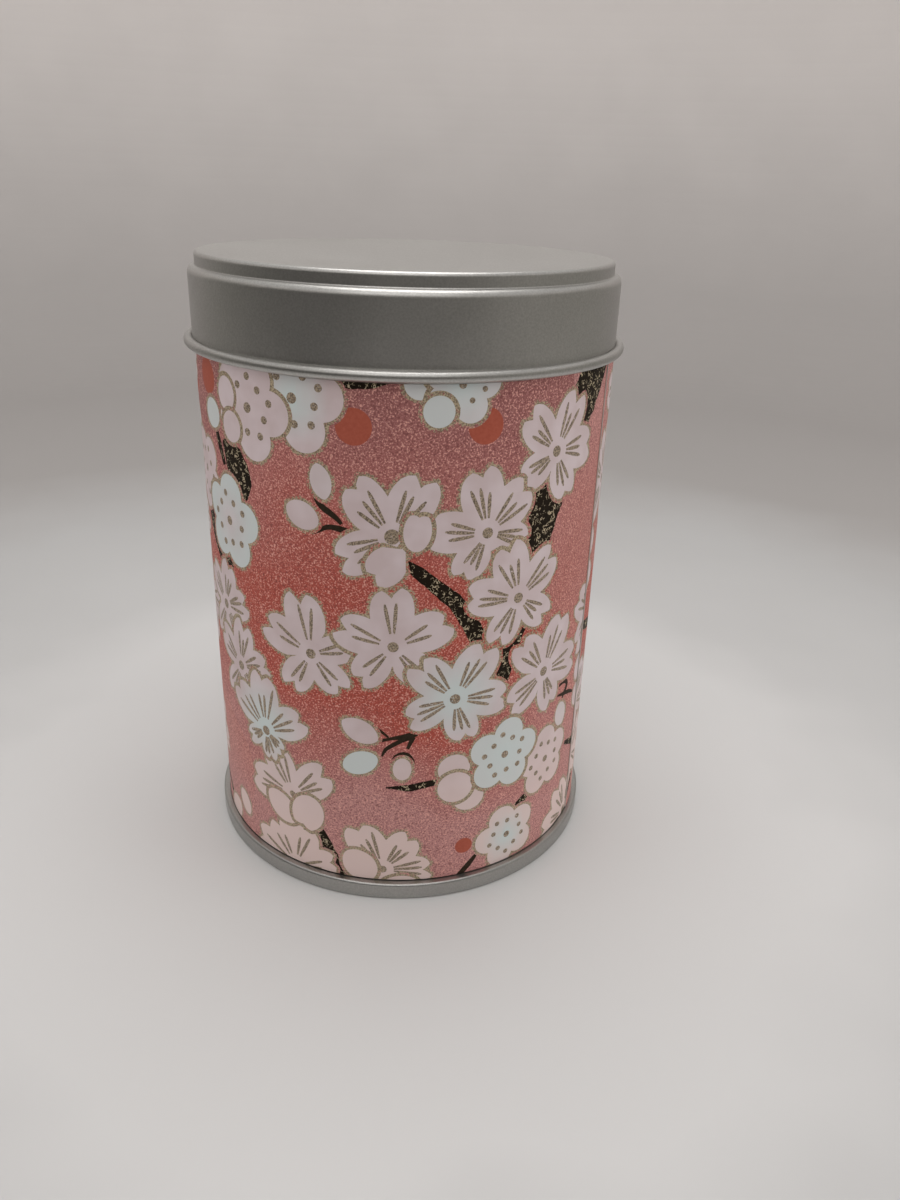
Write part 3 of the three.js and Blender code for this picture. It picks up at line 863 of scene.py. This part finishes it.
def on_sheet(outline):
    """Whether any of a shape's surrounding box is on the sheet."""
    (left, low), (right, high) = outline.min(0), outline.max(0)
    return right > SHEET_START and left < SHEET_END and high > SHEET_LOW and low < SHEET_HIGH


def print_layout():
    """Every shape on the sheet, undermost first: the pattern, and its copies round the can."""
    shapes = []
    for k in (-2, -1, 0, 1):
        for fall in (-TALL, 0, TALL):
            up = fall + (RISE if k % 2 else 0) - STAGGER * k
            shapes += [moved(shape, k * REPEAT, up) for shape in PATTERN]
    return [shape for shape in shapes if on_sheet(shape["outline"])]


def within(points, outline):
    """Which points a closed outline goes round."""
    turns = np.zeros(len(points), int)
    for a, b in zip(outline, np.roll(outline, -1, axis=0)):
        left = (b[0] - a[0]) * (points[:, 1] - a[1]) - (points[:, 0] - a[0]) * (b[1] - a[1])
        turns += (a[1] <= points[:, 1]) & (b[1] > points[:, 1]) & (left > 0)
        turns -= (a[1] > points[:, 1]) & (b[1] <= points[:, 1]) & (left < 0)
    return turns != 0


def triangulated(points, edges):
    """The flat triangulation that keeps all these edges: points, triangles and, for every
    point, the number of the first one given that it stands for."""
    done = delaunay_2d_cdt([Vector(p) for p in points], edges, [], 0, 1e-6)
    flat = np.array([tuple(v) for v in done[0]])
    given = [first[0] if first else -1 for first in done[3]]
    triangles = np.array([f for f in done[2] if len(f) == 3])
    a, b, c = (flat[triangles[:, k]] for k in range(3))
    area = (b[:, 0] - a[:, 0]) * (c[:, 1] - a[:, 1]) - (c[:, 0] - a[:, 0]) * (b[:, 1] - a[:, 1])
    triangles[area < 0] = triangles[area < 0][:, ::-1]
    return flat, triangles[np.abs(area) > 1e-9], given


def sheet_plan(shapes):
    """The sheet's face cut along every printed edge and every upright fold."""
    points, edges = [], []

    def loop(outline):
        first = len(points)
        points.extend(map(tuple, outline))
        edges.extend((first + k, first + (k + 1) % len(outline)) for k in range(len(outline)))

    def line(start, end):
        points.extend((start, end))
        edges.append((len(points) - 2, len(points) - 1))

    for shape in shapes:
        loop(shape["outline"])
        if shape["rim"] is not None:
            loop(shape["rim"])
        for mark in shape["marks"]:
            loop(mark)
    for x in FOLDS:
        line((x, SHEET_LOW), (x, SHEET_HIGH))
    for z in RUNGS:
        line((SHEET_START, z), (SHEET_END, z))
    flat, triangles, _ = triangulated(points, edges)
    middle = flat[triangles].mean(1)
    kept = ((middle[:, 0] > SHEET_START) & (middle[:, 0] < SHEET_END)
            & (middle[:, 1] > SHEET_LOW) & (middle[:, 1] < SHEET_HIGH))
    return flat, triangles[kept]


def inked(shapes, flat, triangles):
    """The ink of every triangle and the mint share of every point, painted shape by shape."""
    middle = flat[triangles].mean(1)
    ink = np.full(len(triangles), GROUND)
    mint = np.zeros(len(flat))

    def paint(outline, colour):
        low, high = outline.min(0), outline.max(0)
        near = np.flatnonzero((middle > low).all(1) & (middle < high).all(1))
        hit = near[within(middle[near], outline)]
        ink[hit] = colour
        return hit

    for shape in shapes:
        if shape["rim"] is not None:
            paint(shape["rim"], GOLD_ON_GROUND)
        hit = paint(shape["outline"], shape["ink"])
        inner, outer, radius = shape["mint"]
        centre = shape["outline"].mean(0)
        corners = np.unique(triangles[hit])
        away = np.linalg.norm(flat[corners] - centre, axis=1) / radius
        mint[corners] = inner + (outer - inner) * np.clip(1.6 * away - 0.25, 0, 1)
        for mark in shape["marks"]:
            paint(mark, GOLD_ON_PETAL)
    return ink, mint


def dusting(flat, triangles, ink):
    """How thick the gold lies at every point: 1 along a petal, thinning out to 0 at a rim's edge."""
    petals = np.unique(triangles[ink == PETAL])
    finder = KDTree(len(petals))
    for place, point in enumerate(flat[petals]):
        finder.insert((*point, 0), place)
    finder.balance()
    thick = np.zeros(len(flat))
    for point in np.unique(triangles[ink == GOLD_ON_GROUND]):
        thick[point] = 1 - finder.find((*flat[point], 0))[2] / RIM
    return np.clip(thick, 0, 1)


def wrapped(flat, depth):
    """Points of the flat sheet carried round the can; depth 0 is its face, 1 its back."""
    turned_by = (flat[:, 0] - SHEET_START) / DEGREE
    lift = (PAPER + TOUCH) * (1 - np.clip((turned_by - LAP_DEG) / RAMP_DEG, 0, 1))
    r = PAPER_R + lift - depth * PAPER
    a = np.radians(flat[:, 0] / DEGREE - 90)
    return np.column_stack((r * np.cos(a), r * np.sin(a), flat[:, 1] * MM))


def rim_edges(triangles):
    """The directed edges that only one triangle has, as rows of two point numbers."""
    edges = np.concatenate((triangles[:, [0, 1]], triangles[:, [1, 2]], triangles[:, [2, 0]]))
    size = triangles.max() + 1
    lone = ~np.isin(edges @ (size, 1), edges @ (1, size))
    return edges[lone]


def paper_wrap(inks):
    """The sheet with its print: one closed piece, whose faces take their ink's material."""
    shapes = print_layout()
    flat, triangles = sheet_plan(shapes)
    ink, mint = inked(shapes, flat, triangles)
    used, triangles = np.unique(triangles, return_inverse=True)
    flat, mint, triangles = flat[used], mint[used], triangles.reshape(-1, 3)

    border = rim_edges(triangles)
    stops = np.unique(border)
    rank = np.zeros(len(flat), int)  # an edge point's place among the back's points
    rank[stops] = np.arange(len(stops))
    lines = rank[border].tolist()
    edge = flat[stops]
    foot, head = (np.flatnonzero(np.abs(edge[:, 1] - z) < 0.001) for z in (SHEET_LOW, SHEET_HIGH))
    for x in FOLDS[1:-1]:
        low, high = (level[np.abs(edge[level, 0] - x).argmin()] for level in (foot, head))
        lines.append((int(low), int(high)))
    _, back, given = triangulated(edge, lines)

    behind = len(flat)
    back = behind + np.array(given)[back[:, ::-1]]
    a, b = border.T
    sides = np.column_stack((b, a, behind + rank[a], behind + rank[b]))
    points = np.concatenate((wrapped(flat, 0), wrapped(edge, 1)))
    piece = solid("paper_wrap", points.tolist(), triangles.tolist() + back.tolist() + sides.tolist(), *inks)
    slots = np.concatenate((ink, np.full(len(back) + len(sides), PAPER_BACK)))
    piece.data.polygons.foreach_set("material_index", slots.astype(np.int32))
    for name, values in (("mint", mint), ("dusting", dusting(flat, triangles, ink))):
        share = piece.data.attributes.new(name, "FLOAT", "POINT")
        share.data.foreach_set("value", np.concatenate((values, np.zeros(len(stops)))).astype(np.float32))

    outward = points * (1, 1, 0) / np.linalg.norm(points[:, :2], axis=1)[:, None]
    corners = np.concatenate((outward[triangles.ravel()], -outward[back.ravel()]))
    edgewise = np.repeat([polygon.normal for polygon in piece.data.polygons[-len(sides):]], 4, axis=0)
    piece.data.normals_split_custom_set(np.concatenate((corners, edgewise)).tolist())
    return piece


# ---- the assembly ----
fit(can_wall(), "can_body", "body_shell")
fit(side_weld(), "can_body", "body_shell")
fit(bottom_end(), "can_body", "base_end")
fit(seam_sealant(), "can_body", "seam_compound")
fit(paper_wrap(washi_inks()), "can_body", "washi_wrap")
fit(inner_lid(), "inner_lid", "inner_lid")
fit(knob(), "inner_lid", "inner_lid_knob")
fit(rivet(), "inner_lid", "knob_rivet")
fit(washer(), "inner_lid", "knob_washer")
fit(outer_lid(), "outer_lid", "outer_lid")


# ---- surroundings ----
SWEEP_R, SWEEP_FILLET, SWEEP_TOP = 0.42, 0.25, 0.5
SWEEP_NEAR, SWEEP_FAR = (0.62, 0.616, 0.612), (0.62, 0.591, 0.575)
# Painted light in the sweep's colour, by metres out from the can along the floor and up the wall: a pool of
# light round the can that fades across the floor, then grows again up the wall
SWEEP_PAINTED_LIGHT = (
    (0.0, 1.03), (0.09, 0.99), (0.12, 0.86), (0.19, 0.77), (0.27, 0.61), (0.45, 0.645),
    (0.62, 0.7), (0.74, 0.84), (0.83, 1.02), (0.9, 1.18), (1.0, 1.28),
)

# The glowing card's size, half its turn, and how brightly it glows (a painted reflection for the tin) by
# degrees to the right of the front
GLOW_CARD_R, GLOW_CARD_TOP, GLOW_CARD_REACH = 0.36, 0.24, 118
GLOW_CARD_LEVELS = ((-118, 0.30), (-74, 0.11), (-44, 0.03), (-15, 0.095), (20, 0.11), (60, 0.30), (118, 0.30))
GLOW_CARD_TINT = (1.0, 0.955, 0.87)

# The camera: how far back and how far up in can heights, its turns, and its lens and film
EYE_BACK, EYE_UP = 1.5724, 1.1111
YAW, PITCH, ROLL = 3.118, 24.414, 1.825
LENS, FILM = 28.0, 36.0

ROOM_BELOW, ROOM_ABOVE = (0.86, 0.84, 0.82), (0.52, 0.51, 0.50)
LAMP_COLOUR = (1.0, 0.99, 0.98)
CAN_MIDDLE = (0, 0, 0.05)
FILL_ASIDE, FILL_FORWARD, FILL_UP, FILL_SPREAD = 0.5, 0.12, 0.14, 140
FILL_POWERS = ((-1, 0.26), (1, 0.47))  # watts on the left and the right


def sweep():
    """A seamless sweep of pale paper, a floor that curves up into a wall all round, with painted light
    graded into its colour.
    """
    m = Shader("sweep_pale_painted_light", Roughness=0.7)
    x, y, z = m.axes()
    away = m.math("SQRT", m.math("ADD", m.math("MULTIPLY", x, x), m.math("MULTIPLY", y, y)))
    mottle = m.span(m.noise(50 * MM), 0.3, 0.7, -0.01, 0.01)
    place = m.math("ADD", m.math("ADD", away, z), mottle)
    painted_tones = [(at, tuple(tone * part for part in (SWEEP_NEAR if at < 0.2 else SWEEP_FAR)))
            for at, tone in SWEEP_PAINTED_LIGHT]
    # the ramp paints light into the sweep: brightest by the can, darker out across the floor, lighter up
    # the wall
    m.feed("Base Color", m.ramp(place, *painted_tones))
    wall_r = SWEEP_R + SWEEP_FILLET
    line = [(0, 0), *arc(SWEEP_R, SWEEP_FILLET, SWEEP_FILLET, -90, 0, pitch=2), (wall_r, SWEEP_TOP)]
    return turned("sweep", line, m.material, SMALL_SEGMENTS)


def glow_card():
    """It paints on the tin the reflection that a black card in front of the can would give, without shading
    anything else: a curved, glowing card that only reflections see, glowing least to the left of the front."""
    m = Shader("glow_card_painted_reflection", Roughness=1.0)
    m.principled.inputs["Base Color"].default_value = (0, 0, 0, 1)
    x, y, _ = m.axes()
    turn = m.math("ARCTAN2", x, m.math("MULTIPLY", y, -1.0))
    share = m.span(turn, -math.pi, math.pi)
    stops = [(0.5 + direction / 360, tuple(level * part for part in GLOW_CARD_TINT))
             for direction, level in GLOW_CARD_LEVELS]
    # the card's glow is a painted reflection on the tin's sides
    m.feed("Emission Color", m.ramp(share, *stops))
    m.principled.inputs["Emission Strength"].default_value = 1.0
    turns = [math.radians(-90 + step) for step in range(-GLOW_CARD_REACH, GLOW_CARD_REACH + 1, 4)]
    vertices = [(GLOW_CARD_R * math.cos(a), GLOW_CARD_R * math.sin(a), z) for z in (0.0, GLOW_CARD_TOP) for a in turns]
    count = len(turns)
    faces = [(k, k + 1, count + k + 1, count + k) for k in range(count - 1)]
    card = solid("glow_card", vertices, faces, m.material)
    card.visible_camera = card.visible_diffuse = card.visible_shadow = card.visible_transmission = False
    return card


def camera():
    data = bpy.data.cameras.new("camera")
    data.sensor_width = FILM
    data.lens = LENS
    data.clip_start, data.clip_end = 0.01, 50
    eye = bpy.data.objects.new("camera", data)
    scene.collection.objects.link(eye)
    yaw, pitch, roll = math.radians(YAW), math.radians(PITCH), math.radians(ROLL)
    place = Matrix.Translation((0, -EYE_BACK * LID_TOP, EYE_UP * LID_TOP))
    turn = Matrix.Rotation(-yaw, 4, "Z") @ Matrix.Rotation(math.pi / 2 - pitch, 4, "X")
    eye.matrix_world = place @ turn @ Matrix.Rotation(roll, 4, "Z")
    scene.camera = eye


def softbox(name, place, aim, size, power):
    """A rectangular lamp, lighting from place towards aim."""
    data = bpy.data.lights.new(name, "AREA")
    data.shape = "RECTANGLE"
    data.size, data.size_y = size
    data.energy = power
    data.color = LAMP_COLOUR
    lamp = bpy.data.objects.new(name, data)
    scene.collection.objects.link(lamp)
    lamp.location = place
    lamp.rotation_euler = (Vector(aim) - Vector(place)).to_track_quat("-Z", "Y").to_euler()
    return lamp


def surroundings():
    """Soft light from all over the room."""
    world = bpy.data.worlds.new("room")
    scene.world = world
    world.use_nodes = True
    tree = world.node_tree
    place = tree.nodes.new("ShaderNodeTexCoord")
    parts = tree.nodes.new("ShaderNodeSeparateXYZ")
    tree.links.new(place.outputs["Generated"], parts.inputs[0])
    ramp = tree.nodes.new("ShaderNodeValToRGB")
    for element, colour in zip(ramp.color_ramp.elements, (ROOM_BELOW, ROOM_ABOVE)):
        element.color = (*colour, 1)
    tree.links.new(parts.outputs["Z"], ramp.inputs["Fac"])
    tree.links.new(ramp.outputs["Color"], tree.nodes["Background"].inputs["Color"])
    tree.nodes["Background"].inputs["Strength"].default_value = 1.0


sweep()
# a glowing card that paints reflections on the tin
glow_card()
camera()
surroundings()
softbox("overhead", (0, 0.05, 0.6), (0, 0, 0), (0.35, 0.35), 1.3)
softbox("front", (-0.05, -0.42, 0.55), CAN_MIDDLE, (0.5, 0.3), 0.45)
for side, power in FILL_POWERS:
    fill = softbox("fill", (FILL_ASIDE * side, -FILL_FORWARD, FILL_UP), CAN_MIDDLE, (0.35, 0.3), power)
    fill.data.spread = math.radians(FILL_SPREAD)  # keeps its light off the wall beside it
    fill.visible_glossy = fill.visible_camera = False  # the tin doesn't mirror the fills
scene.view_settings.view_transform = "Standard"
